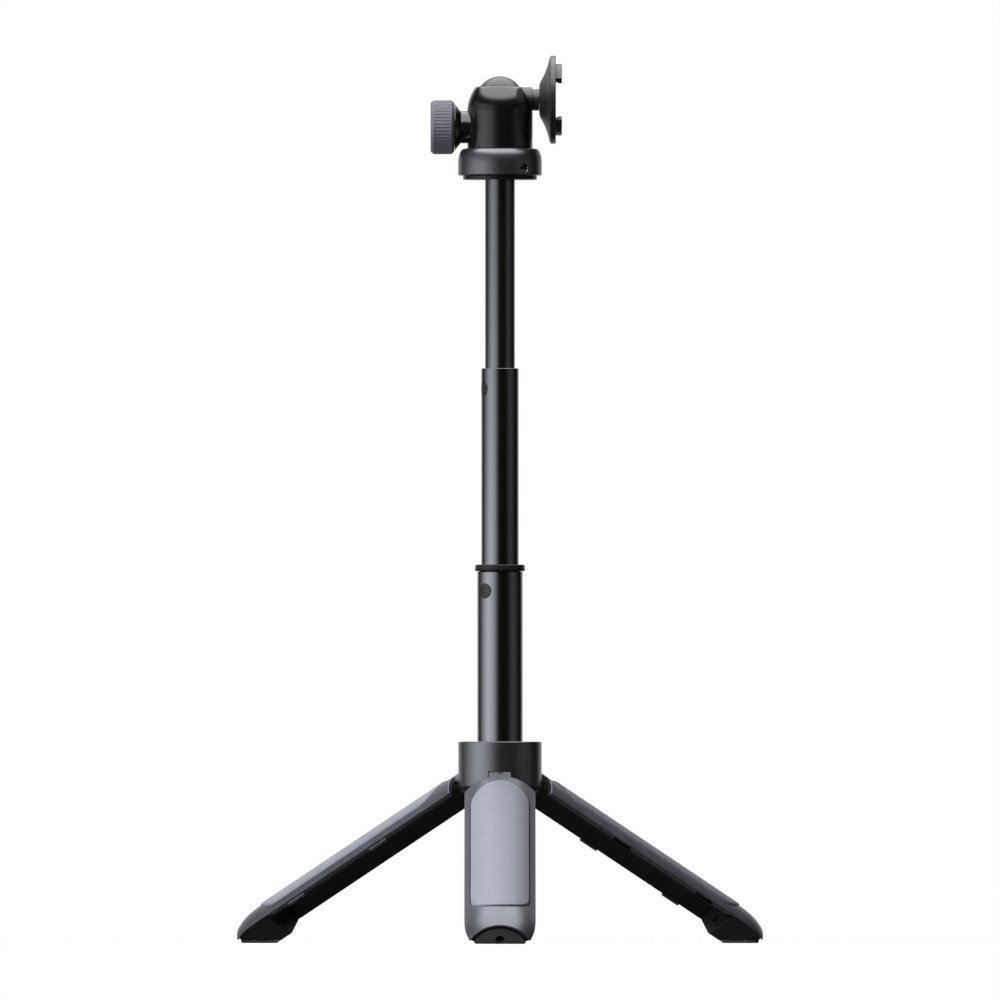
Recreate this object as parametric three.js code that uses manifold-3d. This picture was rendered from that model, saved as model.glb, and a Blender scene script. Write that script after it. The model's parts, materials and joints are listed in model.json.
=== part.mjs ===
// Pocket tripod and selfie stick: three legs that fold into a round handle, a pole of three
// sliding tubes, and a ball head that carries a round camera plate with two hooks.
// Millimetres, +Z up. The feet stand on z = 0 and the pole is upright.
// It is built about the pole's axis, and moved at the end to centre it on its own footprint.

import * as THREE from 'three';
import { mergeVertices } from 'three/addons/utils/BufferGeometryUtils.js';
import Module from 'manifold-3d';

const wasm = await Module();
wasm.setup();

// ---------- driving dimensions ----------

const GAP = 0.15; // between neighbouring pieces
const DEG = Math.PI / 180;
const SEGMENTS = 36; // facets round a visible cylinder
const SMALL_SEGMENTS = 12; // facets round a pin, a screw or a hole
const BEYOND = 20; // a cutting tool's reach past a leg's surface

// hub and hinges
const HUB_R = 15;
const HUB_BOTTOM = 54.5;
const HUB_TOP = 72.6;
const HUB_BORE_R = 8.7;
const HUB_LEAD_IN = [0.9, 2]; // chamfer round the hub's foot
const HUB_EDGE = 0.35;
const PIVOT_R = 10.8; // from the pole's axis to a hinge pin
const PIVOT_Z = 59.5;
const PIN_R = 0.8;
const PIN_HALF = 6.8;
const BARREL_R = 1.7; // the eye of a leg's tongue
const NOTCH_HALF = 4.2;
const NOTCH_TOP = 61.9; // the roof of a notch stops its leg
const TONGUE_HALF = 3.9;
const TONGUE_OUTLINE = [ // out from the axis, and up from the pivot
  [9.7, 1.2], [12, 1.2], [13.35, 0], [14.94, -2.75], [14.94, -6.5], [13, -6.5], [11.2, -3], [9.7, -1.2],
];
const BUSH_BOTTOM = 66.5;
const BUSH_R = 10.2;

// legs, measured down the leg from its pivot and out from the handle's axis
const OPEN_ANGLE = 60;
const LEG_AZIMUTH = { front: -90, right: 30, left: 150 };
const HANDLE_R = 14.94;
const SHELL_IN_R = 13;
const BORE_R = 12.4;
const SHELL_START = 5.4;
const NOSE_START = 98;
const NOSE_END = 109.2;
const NOSE_LONG = 12.2; // half axes of the nose's elliptic outline
const NOSE_DEEP = 3.6;
const NOSE_WALL = 0.6;
const BLOCK_START = 93.9;
const BLOCK_END = 108.3;
const TOE_END = 109.1;
const TOE_R = 10.4;
const TOE_CENTRE = 0.8;
const FOOT_IN_R = 0.7; // how near the handle's axis a foot reaches
const SOLE = 0.95; // the block's lowest point above the ground
const PAD_THICK = 0.75;
const PAD_HALF = 8.64;
const SOLE_REACH = [85, 118]; // the sole's blank, out from the pole's axis before it is trimmed
const SCREW_OFFSET = 6.7; // foot screw from the handle's axis
const SCREW = { headR: 1.5, headLong: 1.3, shankR: 0.9, socketR: 0.7, socketDeep: 0.8 };
const SCREW_WELL = { r: 1.7, deep: 7.5 }; // the hole in the toe that the screw goes in by
const SCREW_END = { r: 1.45, deep: 1.6 }; // the recess at its tip
const PANEL_HALF = 10.55;
const PANEL_START = 9.5;
const PANEL_END = 98.7;
const PANEL_R = 15.5;
const RECESS_R = 14.2;
const KEY_CENTRES = [40.5, 79.9]; // keys and keyways along a leg's two edges
const KEY_LENGTH = 7.8;
const KEY_PROUD = 0.93;
const KEY_R = [13.05, 14.25];
const KEY_ROOT = 1.5; // how far a key is sunk in its shell
const KEYWAY_EASE = 0.25;

// pole
const TUBE_WALL = 0.7;
const LOWER = { r: 8.17, bottom: 64, top: 133.8, bossZ: 126.8, bossR: 2.6, bossTurn: 42 };
const MIDDLE = { r: 6.73, bottom: 121.3, top: 207, bossZ: 199.6, bossR: 2.4, bossTurn: 63 };
const UPPER = { r: 5.38, bottom: 194.5, top: 281.1 };
const FLANGE_R = 9.1;
const FLANGE_TOP = 136.3;
const SLEEVE_DEPTH = 10.2; // how far a mouth bush reaches into its tube
const COLLAR = 2; // height of the collar on a tube's foot
const RUNNING = 0.12; // between a tube and its bush
const STUB_DEEP = 0.3; // how far a boss is sunk in its bush

// head
const DISC_R = 13.3;
const DISC_BOTTOM = 274.9;
const RING_R = 15.07;
const RING_BOTTOM = 276.4;
const RING_TOP = 286.1;
const RING_CROWN = [2.1, 4.9]; // half axes of the rounded top edge
const SOCKET_TOP = 281.4; // the ring is blind above the upper tube
const WASHER_R = 8.9;
const WASHER_SEAT = 0.8;
const PLUG_LONG = 13;
const GRUB_TURN = 35.7;
const GRUB_Z = 279;
const GRUB_R = 1.35;
const GRUB_END = 13.6;
const HEX_R = 0.7; // socket of the grub screw
const HOUSING_R = 11.8;
const HOUSING_TOP = 308.4;
const SHOULDER_Z = 299.6; // where the housing starts to draw in
const SHOULDER_IN = 3.05;
const CAVITY_R = 8.75;
const CAVITY_FLOOR = 288.5;
const CUP = { inner: 4.2, bottom: 292.2, top: 299, ease: 0.2 };
const RAMP = [[-10, 290], [-10, 297.2], [-6.4, 297.2], [-2.6, 293.4], [-2.6, 290]];
const MOUTH_R = 7.3;
const BALL_R = 8.46;
const BALL_Z = 303.7;
const STEM_R = 4.5;
const NECK_R = 3.9;
const NECK_START = 11.6;
const NECK_END = 13.95;
const SLOT_HALF = 4.7;
const KNOB_Z = 293.8;
const BOSS_R = 5.8;
const BOSS_END = 14.1;
const KNOB_R = 9.7;
const KNOB_START = 16.4;
const KNOB_END = 25;
const CONE_R = 8.6;
const KNOB_RIBS = 30;
const KNOB_CHAMFER = 1;
const RIB_DEEP = 0.28;
const CORE_R = 7.05;
const CORE_END = 23.6;
const CLAMP_R = 1.5;
const BOLT_R = 1.5;
const BOLT_FOOT = 270;
const BOLT_HEAD = { r: 3, top: 290.9, socketR: 1.2, socketDeep: 1.3 };

// camera plate, measured out from the ball's centre
const PLATE_R = 15.85;
const PLATE_BACK = 14.1;
const RIM_START = 18.2;
const PLATE_FACE = 20.1;
const PLATE_SCREW = { headR: 3.1, shankR: 1.3, socketR: 1.1, from: 6.5, sunk: 0.2, headLong: 1.25 };
const STEM_BORE = { r: 1.4, from: 5.5 };
const BELL = [
  [5.3, PLATE_BACK], [6.5, 14.5], [7.9, 15.3], [9.4, 16.05], [10.8, 16.6],
  [12.2, 17.1], [13.7, 17.5], [15.1, 17.9], [PLATE_R, RIM_START],
];
const HOOK = { inner: 10.5, neck: 11.2, outer: 12.9, turn: 55, root: 19.3, lip: 21, top: 22.3 };
const MAGNET = { r: 3.2, offset: 10.4, depth: 1.6 };

// ---------- materials ----------

const finish = (color, roughness, metalness) => ({ color, roughness, metalness });
const FINISH = {
  hub: finish(0x4a4b50, 0.42, 0.1),
  shell: finish(0x55565c, 0.45, 0),
  panel: finish(0xa8abba, 0.6, 0),
  liner: finish(0x151517, 0.5, 0),
  foot: finish(0x38393e, 0.55, 0),
  rubber: finish(0x4b4b50, 0.8, 0),
  tube: finish(0x1b1b1e, 0.22, 0.9),
  polymer: finish(0x222226, 0.45, 0),
  head: finish(0x2a2a2e, 0.32, 0.6),
  knob: finish(0x787a87, 0.6, 0),
  plate: finish(0x4a4b50, 0.35, 0.3),
  steel: finish(0x9a9a9c, 0.3, 1),
};

// ---------- helpers ----------

// A closed solid from a geometry, with its faces turned outwards.
function toSolid(geometry) {
  const bare = geometry.clone();
  bare.deleteAttribute('normal');
  bare.deleteAttribute('uv');
  const merged = mergeVertices(bare, 1e-4);
  const index = merged.index.array;
  const points = merged.attributes.position.array;
  const corners = [];
  let volume = 0;
  for (let i = 0; i < index.length; i += 3) {
    const [a, b, c] = [index[i], index[i + 1], index[i + 2]];
    if (a === b || b === c || c === a) continue;
    corners.push(a, b, c);
    const [p, q, s] = [a, b, c].map((at) => new THREE.Vector3().fromArray(points, 3 * at));
    volume += p.dot(q.cross(s));
  }
  if (volume < 0) corners.reverse();
  return new wasm.Manifold(new wasm.Mesh({
    numProp: 3,
    vertProperties: new Float32Array(points),
    triVerts: new Uint32Array(corners),
  }));
}

function toGeometry(solid) {
  const mesh = solid.getMesh();
  const geometry = new THREE.BufferGeometry();
  geometry.setAttribute('position', new THREE.BufferAttribute(mesh.vertProperties, 3));
  geometry.setIndex(new THREE.BufferAttribute(mesh.triVerts, 1));
  return geometry;
}

function cut(body, ...tools) {
  return toGeometry(tools.reduce((rest, tool) => rest.subtract(toSolid(tool)), toSolid(body)));
}

function join(body, ...others) {
  return toGeometry(others.reduce((whole, other) => whole.add(toSolid(other)), toSolid(body)));
}

function common(body, other) {
  return toGeometry(toSolid(body).intersect(toSolid(other)));
}

// A turned solid about Z, from [radius, height] points. An outline off the axis closes on itself.
function turned(outline, segments = SEGMENTS) {
  const points = outline.map(([r, z]) => new THREE.Vector2(r, z));
  if (outline[0][0] > 0) points.push(points[0].clone());
  return new THREE.LatheGeometry(points, segments).rotateX(Math.PI / 2);
}

// The same about X, with the outline's heights running along +X.
const turnedX = (outline, segments) => turned(outline, segments).rotateY(Math.PI / 2);

const rodOutline = (r, from, to) => [[0, from], [r, from], [r, to], [0, to]];
const rod = (r, from, to, segments) => turned(rodOutline(r, from, to), segments);
const rodX = (r, from, to, segments) => turnedX(rodOutline(r, from, to), segments);
const pin = (r, from, to) => rod(r, from, to, SMALL_SEGMENTS);
const pinX = (r, from, to) => rodX(r, from, to, SMALL_SEGMENTS);
const pipe = (inner, outer, from, to) => turned([[inner, from], [outer, from], [outer, to], [inner, to]]);

function block([x0, x1], [y0, y1], [z0, z1]) {
  return new THREE.BoxGeometry(x1 - x0, y1 - y0, z1 - z0)
    .translate((x0 + x1) / 2, (y0 + y1) / 2, (z0 + z1) / 2);
}

// A flat outline of [x, z] points, carried from -half to +half along Y.
function slab(outline, half) {
  const shape = new THREE.Shape(outline.map(([x, z]) => new THREE.Vector2(x, z)));
  return new THREE.ExtrudeGeometry(shape, { depth: 2 * half, bevelEnabled: false })
    .translate(0, 0, -half)
    .rotateX(Math.PI / 2);
}

const assembly = new THREE.Group();

function place(parent, name, geometry, look) {
  const mesh = new THREE.Mesh(toGeometry(toSolid(geometry)), new THREE.MeshStandardMaterial(look));
  mesh.name = name;
  parent.add(mesh);
  return mesh;
}

// ---------- hub ----------

function makeHub() {
  const body = turned([
    [HUB_BORE_R, HUB_BOTTOM], [HUB_R - HUB_LEAD_IN[0], HUB_BOTTOM], [HUB_R, HUB_BOTTOM + HUB_LEAD_IN[1]],
    [HUB_R, HUB_TOP - HUB_EDGE], [HUB_R - HUB_EDGE, HUB_TOP], [BUSH_R + GAP, HUB_TOP],
    [BUSH_R + GAP, BUSH_BOTTOM - GAP], [HUB_BORE_R, BUSH_BOTTOM - GAP],
  ]);
  const tools = [];
  for (const azimuth of Object.values(LEG_AZIMUTH)) {
    const notch = block([0, HUB_R + 1], [-NOTCH_HALF, NOTCH_HALF], [HUB_BOTTOM - 1, NOTCH_TOP]);
    const hole = pin(PIN_R + GAP, -PIN_HALF - GAP, PIN_HALF + GAP)
      .rotateX(Math.PI / 2)
      .translate(PIVOT_R, 0, PIVOT_Z);
    tools.push(notch.rotateZ(azimuth * DEG), hole.rotateZ(azimuth * DEG));
  }
  return cut(body, ...tools);
}

function addHub() {
  place(assembly, 'hub', makeHub(), FINISH.hub);
  const bush = pipe(LOWER.r + RUNNING, BUSH_R, BUSH_BOTTOM, HUB_TOP - 0.2);
  place(assembly, 'hub_bush', bush, FINISH.polymer);
  for (const [side, azimuth] of Object.entries(LEG_AZIMUTH)) {
    const hingePin = pin(PIN_R, -PIN_HALF, PIN_HALF).rotateX(Math.PI / 2);
    const frame = new THREE.Group();
    frame.rotation.z = azimuth * DEG;
    assembly.add(frame);
    place(frame, `hinge_pin_${side}`, hingePin, FINISH.steel).position.set(PIVOT_R, 0, PIVOT_Z);
  }
}

// ---------- legs: X out from the handle's axis, Z up, folded, with the pivot at z = 0 ----------

// The standing leg's place, as a matrix from the folded leg's own frame.
const standing = new THREE.Matrix4().makeTranslation(PIVOT_R, 0, PIVOT_Z)
  .multiply(new THREE.Matrix4().makeRotationY(-OPEN_ANGLE * DEG))
  .multiply(new THREE.Matrix4().makeTranslation(-PIVOT_R, 0, 0));
const folded = standing.clone().invert();

// Everything below a height above the ground, as seen by a standing leg.
const ground = (height) => block([0, 150], [-20, 20], [-40, height]).applyMatrix4(folded);

// A third of a round bar, from one distance down the leg to another.
function sector(inner, outer, from, to, gap = GAP) {
  const half = (r) => 60 * DEG - Math.asin(gap / r);
  const shape = new THREE.Shape();
  shape.absarc(0, 0, outer, -half(outer), half(outer), false);
  shape.absarc(0, 0, inner, half(inner), -half(inner), true);
  shape.closePath();
  const options = { depth: to - from, bevelEnabled: false, curveSegments: SEGMENTS / 3 };
  return new THREE.ExtrudeGeometry(shape, options).translate(0, 0, -to);
}

// The nose is round about the handle's axis. Inset moves its outline inwards.
function nose(inset, from, to) {
  const outline = [[0, -from], [HANDLE_R - inset, -from]];
  const steps = 6;
  for (let i = 0; i <= steps; i += 1) {
    const along = (i / steps) * (to - NOSE_START);
    const drop = NOSE_DEEP * (1 - Math.sqrt(1 - (along / NOSE_LONG) ** 2));
    outline.push([HANDLE_R - inset - drop, -NOSE_START - along]);
  }
  outline.push([0, -to]);
  return turned(outline, SEGMENTS);
}

// A long round-ended outline seen from outside, carried along X.
function stadium(half, from, to, reach) {
  const shape = new THREE.Shape();
  shape.absarc(0, -from - half, half, 0, Math.PI, false);
  shape.absarc(0, -to + half, half, Math.PI, 2 * Math.PI, false);
  shape.closePath();
  const options = { depth: reach, bevelEnabled: false, curveSegments: 12 };
  return new THREE.ExtrudeGeometry(shape, options)
    .rotateX(Math.PI / 2)
    .rotateZ(Math.PI / 2);
}

function makeTongue() {
  const eye = pin(BARREL_R, -TONGUE_HALF, TONGUE_HALF).rotateX(Math.PI / 2).translate(PIVOT_R, 0, 0);
  const bore = pin(PIN_R + 0.1, -5, 5).rotateX(Math.PI / 2).translate(PIVOT_R, 0, 0);
  const trimmed = common(slab(TONGUE_OUTLINE, TONGUE_HALF), sector(1, HANDLE_R, -4, 8));
  return cut(join(trimmed, eye), bore);
}

function keys(grow, deep, radii, edge) {
  const solids = [];
  for (const centre of KEY_CENTRES) {
    const half = KEY_LENGTH / 2 + grow;
    const key = block(radii, [-KEY_ROOT, deep], [-centre - half, -centre + half]);
    solids.push(key.rotateZ(60 * DEG));
    if (edge < 0) solids.at(-1).applyMatrix4(new THREE.Matrix4().makeRotationZ(-120 * DEG));
  }
  return solids;
}

function makeShell() {
  const outer = common(nose(0, SHELL_START, NOSE_END), sector(1, BEYOND, SHELL_START - 1, NOSE_END + 1));
  const hollow = join(
    rod(SHELL_IN_R, -BLOCK_START + 1, -SHELL_START + 5),
    nose(NOSE_WALL, BLOCK_START - 1.5, NOSE_END + 0.2),
  );
  const recess = cut(
    stadium(PANEL_HALF + GAP, PANEL_START - GAP, PANEL_END + GAP, 25),
    rod(RECESS_R, -PANEL_END - 5, 0),
  );
  const wayR = [SHELL_IN_R - 1.5, KEY_R[1] + KEYWAY_EASE + 0.1];
  const keyway = keys(KEYWAY_EASE, KEY_PROUD + KEYWAY_EASE + GAP, wayR, -1);
  const shell = cut(outer, hollow, recess, ground(SOLE), ...keyway);
  return join(shell, makeTongue(), ...keys(0, KEY_PROUD - GAP, KEY_R, 1).map(trimKey));
}

// A key stays clear of the shell's inner and outer faces.
function trimKey(key) {
  return common(key, pipe(SHELL_IN_R + 0.02, HANDLE_R - 0.1, -NOSE_START, -SHELL_START));
}

function makePanel() {
  const pad = common(stadium(PANEL_HALF, PANEL_START, PANEL_END, 25), rod(PANEL_R, -PANEL_END - 5, 0));
  return cut(pad, rod(RECESS_R + GAP, -PANEL_END - 6, 1));
}

const makeLiner = () => sector(BORE_R, SHELL_IN_R - 0.1, SHELL_START + 1, BLOCK_START - GAP);

function makeFootBlock() {
  const inside = nose(NOSE_WALL + GAP, BLOCK_START, BLOCK_END);
  const body = common(inside, sector(FOOT_IN_R, BEYOND, BLOCK_START - 1, BLOCK_END + 1));
  const bore = pin(SCREW.shankR + GAP, -TOE_END - 1, -BLOCK_START + 1);
  const recess = pin(SCREW_END.r, -BLOCK_START - SCREW_END.deep, -BLOCK_START + 1);
  const well = pin(SCREW_WELL.r, -TOE_END - 1, -TOE_END + SCREW_WELL.deep);
  const holes = [bore, recess, well].map((hole) => hole.translate(SCREW_OFFSET, 0, 0));
  return cut(body, ...holes, ground(SOLE));
}

// A rubber sole, with a toe that covers the block's end.
function makePad() {
  const sheet = block(SOLE_REACH, [-PAD_HALF, PAD_HALF], [0, PAD_THICK]).applyMatrix4(folded);
  const sole = common(sheet, sector(FOOT_IN_R, BEYOND, BLOCK_START, TOE_END));
  const toe = common(
    rod(TOE_R, -TOE_END, -BLOCK_END - GAP).translate(TOE_CENTRE, 0, 0),
    sector(FOOT_IN_R, BEYOND, BLOCK_START, TOE_END + 1),
  );
  const well = pin(SCREW_WELL.r, -TOE_END - 1, -TOE_END + SCREW_WELL.deep).translate(SCREW_OFFSET, 0, 0);
  return cut(join(sole, toe), ground(0), well);
}

function makeFootScrew() {
  const shoulder = -TOE_END + SCREW_WELL.deep - 0.3;
  const head = shoulder - SCREW.headLong;
  const tip = -BLOCK_START - 0.6;
  const outline = [
    [0, head], [SCREW.headR, head], [SCREW.headR, shoulder], [SCREW.shankR, shoulder],
    [SCREW.shankR, tip], [0, tip],
  ];
  const hex = pin(SCREW.socketR, head - 1, head + SCREW.socketDeep);
  return cut(turned(outline, SMALL_SEGMENTS), hex).translate(SCREW_OFFSET, 0, 0);
}

function addLegs() {
  const pieces = {
    leg_shell: [makeShell(), FINISH.shell],
    leg_panel: [makePanel(), FINISH.panel],
    leg_liner: [makeLiner(), FINISH.liner],
    foot_block: [makeFootBlock(), FINISH.foot],
    foot_pad: [makePad(), FINISH.rubber],
    foot_screw: [makeFootScrew(), FINISH.steel],
  };
  for (const [side, azimuth] of Object.entries(LEG_AZIMUTH)) {
    const swing = new THREE.Group();
    swing.rotation.z = azimuth * DEG;
    const hinge = new THREE.Group();
    hinge.position.set(PIVOT_R, 0, PIVOT_Z);
    hinge.rotation.y = -OPEN_ANGLE * DEG;
    swing.add(hinge);
    assembly.add(swing);
    for (const [name, [geometry, look]] of Object.entries(pieces)) {
      place(hinge, `${name}_${side}`, geometry, look).position.x = -PIVOT_R;
    }
  }
}

// ---------- pole ----------

// A round boss of a bush, flush with the tube round it. Turn is from the front towards -X.
function boss(tube, radius, inner, outer) {
  return pinX(radius, inner, outer)
    .rotateZ(-(90 + tube.bossTurn) * DEG)
    .translate(0, 0, tube.bossZ);
}

function makeTube(tube) {
  const plain = pipe(tube.r - TUBE_WALL, tube.r, tube.bottom + COLLAR + GAP, tube.top);
  return tube.bossR ? cut(plain, boss(tube, tube.bossR + GAP, tube.r - 3, tube.r + 3)) : plain;
}

// A collar bonded to the foot of a tube. It is too wide to pass the bush above it.
function makeCollar(tube, reach) {
  return pipe(tube.r - TUBE_WALL, tube.r + reach, tube.bottom, tube.bottom + COLLAR);
}

function makeMouthBush(tube, next, lip) {
  const inner = next.r + RUNNING;
  const sleeve = tube.r - TUBE_WALL - GAP;
  const shape = turned([
    [inner, tube.top - SLEEVE_DEPTH], [sleeve, tube.top - SLEEVE_DEPTH], [sleeve, lip[0][1]],
    ...lip, [inner, lip.at(-1)[1]],
  ]);
  const stub = boss(tube, tube.bossR, sleeve - STUB_DEEP, tube.r + 1);
  const flush = common(stub, pipe(inner, tube.r, tube.bossZ - SLEEVE_DEPTH, tube.bossZ + SLEEVE_DEPTH));
  return join(shape, flush);
}

function addPole() {
  place(assembly, 'lower_tube', makeTube(LOWER), FINISH.tube);
  const flange = [[FLANGE_R - 0.3, LOWER.top + GAP], [FLANGE_R, LOWER.top + 0.6],
    [FLANGE_R - 0.25, FLANGE_TOP - 0.2], [FLANGE_R - 0.6, FLANGE_TOP]];
  place(assembly, 'lower_mouth_bush', makeMouthBush(LOWER, MIDDLE, flange), FINISH.polymer);
  place(assembly, 'lower_collar', makeCollar(LOWER, 0.35), FINISH.polymer);

  place(assembly, 'middle_tube', makeTube(MIDDLE), FINISH.tube);
  const lip = [[MIDDLE.r - TUBE_WALL - GAP, MIDDLE.top - 0.1]];
  place(assembly, 'middle_mouth_bush', makeMouthBush(MIDDLE, UPPER, lip), FINISH.polymer);
  place(assembly, 'middle_collar', makeCollar(MIDDLE, 0.5), FINISH.polymer);

  place(assembly, 'upper_tube', makeTube(UPPER), FINISH.tube);
  place(assembly, 'upper_collar', makeCollar(UPPER, 0.45), FINISH.polymer);
}

// ---------- head base: fixed to the top of the upper tube ----------

function addHeadBase() {
  const plug = cut(
    rod(UPPER.r - TUBE_WALL - GAP, UPPER.top - PLUG_LONG, UPPER.top),
    pin(BOLT_R + GAP, UPPER.top - PLUG_LONG - 1, UPPER.top + 1),
  );
  place(assembly, 'tube_plug', plug, FINISH.steel);

  const disc = pipe(UPPER.r + GAP, DISC_R, DISC_BOTTOM, RING_BOTTOM - GAP);
  place(assembly, 'base_disc', disc, FINISH.polymer);

  const top = [];
  for (let i = 0; i <= 5; i += 1) {
    const turn = (i / 5) * 90 * DEG;
    const [wide, tall] = RING_CROWN;
    top.push([RING_R - wide + wide * Math.cos(turn), RING_TOP - tall + tall * Math.sin(turn)]);
  }
  const body = turned([
    [UPPER.r + GAP, RING_BOTTOM], [RING_R - 0.5, RING_BOTTOM], [RING_R, RING_BOTTOM + 0.5], ...top,
    [WASHER_R + 0.3, RING_TOP], [WASHER_R + 0.3, RING_TOP - WASHER_SEAT],
    [BOLT_R + 0.3, RING_TOP - WASHER_SEAT], [BOLT_R + 0.3, SOCKET_TOP], [UPPER.r + GAP, SOCKET_TOP],
  ]);
  const grubFrame = (solid) => solid.rotateZ((GRUB_TURN - 90) * DEG).translate(0, 0, GRUB_Z);
  const ring = cut(body, grubFrame(pinX(GRUB_R + GAP, 3, RING_R + 1)));
  place(assembly, 'base_ring', ring, FINISH.hub);
  const grub = cut(pinX(GRUB_R, UPPER.r + 0.2, GRUB_END), pinX(HEX_R, GRUB_END - 1.2, GRUB_END + 1));
  place(assembly, 'grub_screw', grubFrame(grub), FINISH.steel);

  const washer = pipe(BOLT_R + 0.9, WASHER_R, RING_TOP - WASHER_SEAT + GAP, RING_TOP - GAP);
  place(assembly, 'pan_washer', washer, FINISH.polymer);
  const seat = CAVITY_FLOOR + GAP;
  const bolt = turned([
    [0, BOLT_FOOT], [BOLT_R, BOLT_FOOT], [BOLT_R, seat], [BOLT_HEAD.r, seat], [BOLT_HEAD.r, BOLT_HEAD.top],
    [0, BOLT_HEAD.top],
  ], SMALL_SEGMENTS);
  const hex = pin(BOLT_HEAD.socketR, BOLT_HEAD.top - BOLT_HEAD.socketDeep, BOLT_HEAD.top + 1);
  place(assembly, 'pan_bolt', cut(bolt, hex), FINISH.steel);
}

// ---------- head: turns on the base, holds the ball and the knob ----------

const ball = (r) => new THREE.SphereGeometry(r, 24, 14).rotateX(Math.PI / 2).translate(0, 0, BALL_Z);

function makeHousing() {
  const shoulder = [];
  for (let i = 0; i <= 6; i += 1) {
    const up = i / 6;
    shoulder.push([
      HOUSING_R - SHOULDER_IN * up ** 2,
      SHOULDER_Z + up * (HOUSING_TOP - SHOULDER_Z),
    ]);
  }
  const bottom = RING_TOP + GAP;
  const body = turned([[0, bottom], [HOUSING_R, bottom], ...shoulder, [0, HOUSING_TOP]]);
  const clampBoss = rodX(BOSS_R, -BOSS_END, -6).translate(0, 0, KNOB_Z);
  const slot = join(
    rodX(SLOT_HALF, 0, 20).translate(0, 0, BALL_Z),
    block([0, 20], [-SLOT_HALF, SLOT_HALF], [BALL_Z, HOUSING_TOP + 5]),
  );
  return cut(
    join(body, clampBoss),
    rod(CAVITY_R, CAVITY_FLOOR, BALL_Z),
    ball(BALL_R + 0.29),
    rod(MOUTH_R, BALL_Z, HOUSING_TOP + 1),
    slot,
    pin(BOLT_R + 0.3, bottom - 1, CAVITY_FLOOR + 1),
    pinX(CLAMP_R + 0.2, -20, 0).translate(0, 0, KNOB_Z),
  );
}

// The cup lifts the ball against the housing's mouth when the clamp screw's cone drives under it.
function makeCup() {
  const ringShape = pipe(CUP.inner, CAVITY_R - GAP, CUP.bottom, CUP.top);
  return cut(ringShape, ball(BALL_R + CUP.ease), slab(RAMP, CLAMP_R + 0.5));
}

function addHead() {
  place(assembly, 'head_housing', makeHousing(), FINISH.head);
  place(assembly, 'ball_cup', makeCup(), FINISH.polymer);
  place(assembly, 'cup_spring', pipe(7, 8.4, CAVITY_FLOOR + GAP, CUP.bottom - GAP), FINISH.steel);
}

// ---------- clamp knob on the head's -X side ----------

function makeGrip() {
  const shape = new THREE.Shape();
  for (let i = 0; i < 2 * KNOB_RIBS; i += 1) {
    const r = i % 2 ? KNOB_R - RIB_DEEP : KNOB_R;
    const turn = (i / (2 * KNOB_RIBS)) * 2 * Math.PI;
    const step = [r * Math.cos(turn), r * Math.sin(turn)];
    if (i === 0) shape.moveTo(...step);
    else shape.lineTo(...step);
  }
  shape.closePath();
  const length = KNOB_END - KNOB_START;
  const ribbed = new THREE.ExtrudeGeometry(shape, { depth: length, bevelEnabled: false })
    .rotateY(Math.PI / 2)
    .translate(-KNOB_END, 0, 0);
  const bare = KNOB_R - KNOB_CHAMFER;
  const full = KNOB_R + 0.05;
  const edge = turnedX([
    [0, -KNOB_END], [bare, -KNOB_END], [full, -KNOB_END + KNOB_CHAMFER],
    [full, -KNOB_START - KNOB_CHAMFER], [bare, -KNOB_START], [0, -KNOB_START],
  ]);
  return cut(common(ribbed, edge), rodX(CORE_R + GAP, -KNOB_END - 1, -KNOB_START + 1));
}

function addKnob() {
  const frame = new THREE.Group();
  frame.position.z = KNOB_Z;
  assembly.add(frame);
  place(frame, 'knob_grip', makeGrip(), FINISH.knob);
  const cone = turnedX([
    [CLAMP_R + 0.1, -BOSS_END - 0.25], [BOSS_R, -BOSS_END - 0.25], [CONE_R, -KNOB_START + 0.1],
    [CORE_R, -KNOB_START + 0.1], [CORE_R, -CORE_END], [CLAMP_R + 0.1, -CORE_END],
  ]);
  place(frame, 'knob_core', cone, FINISH.head);
  place(frame, 'knob_cap', rodX(CORE_R, -CORE_END - 0.8, -CORE_END - 0.3), FINISH.liner);
  const screw = turnedX([
    [0, -CORE_END + 0.2], [CLAMP_R, -CORE_END + 0.2], [CLAMP_R, -5.2], [0.3, -4], [0, -4],
  ], SMALL_SEGMENTS);
  place(frame, 'clamp_screw', screw, FINISH.steel);
}

// ---------- ball and camera plate ----------

function addBall() {
  const stem = join(rodX(STEM_R, 5, NECK_START), rodX(NECK_R, NECK_START - 1, NECK_END))
    .translate(0, 0, BALL_Z);
  const bore = pinX(STEM_BORE.r, STEM_BORE.from, 20).translate(0, 0, BALL_Z);
  place(assembly, 'ball_stem', cut(join(ball(BALL_R), stem), bore), FINISH.plate);
}

function makePlate() {
  const { headR, shankR, headLong, sunk } = PLATE_SCREW;
  const counterbore = PLATE_FACE - sunk - headLong - GAP;
  const body = turnedX([
    [shankR + 0.2, PLATE_BACK], ...BELL, [PLATE_R, PLATE_FACE - 0.3], [PLATE_R - 0.3, PLATE_FACE],
    [headR + 0.2, PLATE_FACE], [headR + 0.2, counterbore], [shankR + 0.2, counterbore],
  ]);
  const pockets = [];
  const grown = [
    [HOOK.neck - GAP, HOOK.root - GAP], [HOOK.outer + GAP, HOOK.root - GAP], [HOOK.outer + GAP, 30],
    [HOOK.neck - GAP, 30],
  ];
  for (const side of [-1, 1]) {
    pockets.push(pinX(MAGNET.r + GAP, PLATE_FACE - MAGNET.depth, 30).translate(0, side * MAGNET.offset, 0));
    pockets.push(clawArc(grown, GAP).rotateX(side > 0 ? 0 : Math.PI));
  }
  return cut(body, ...pockets);
}

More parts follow.
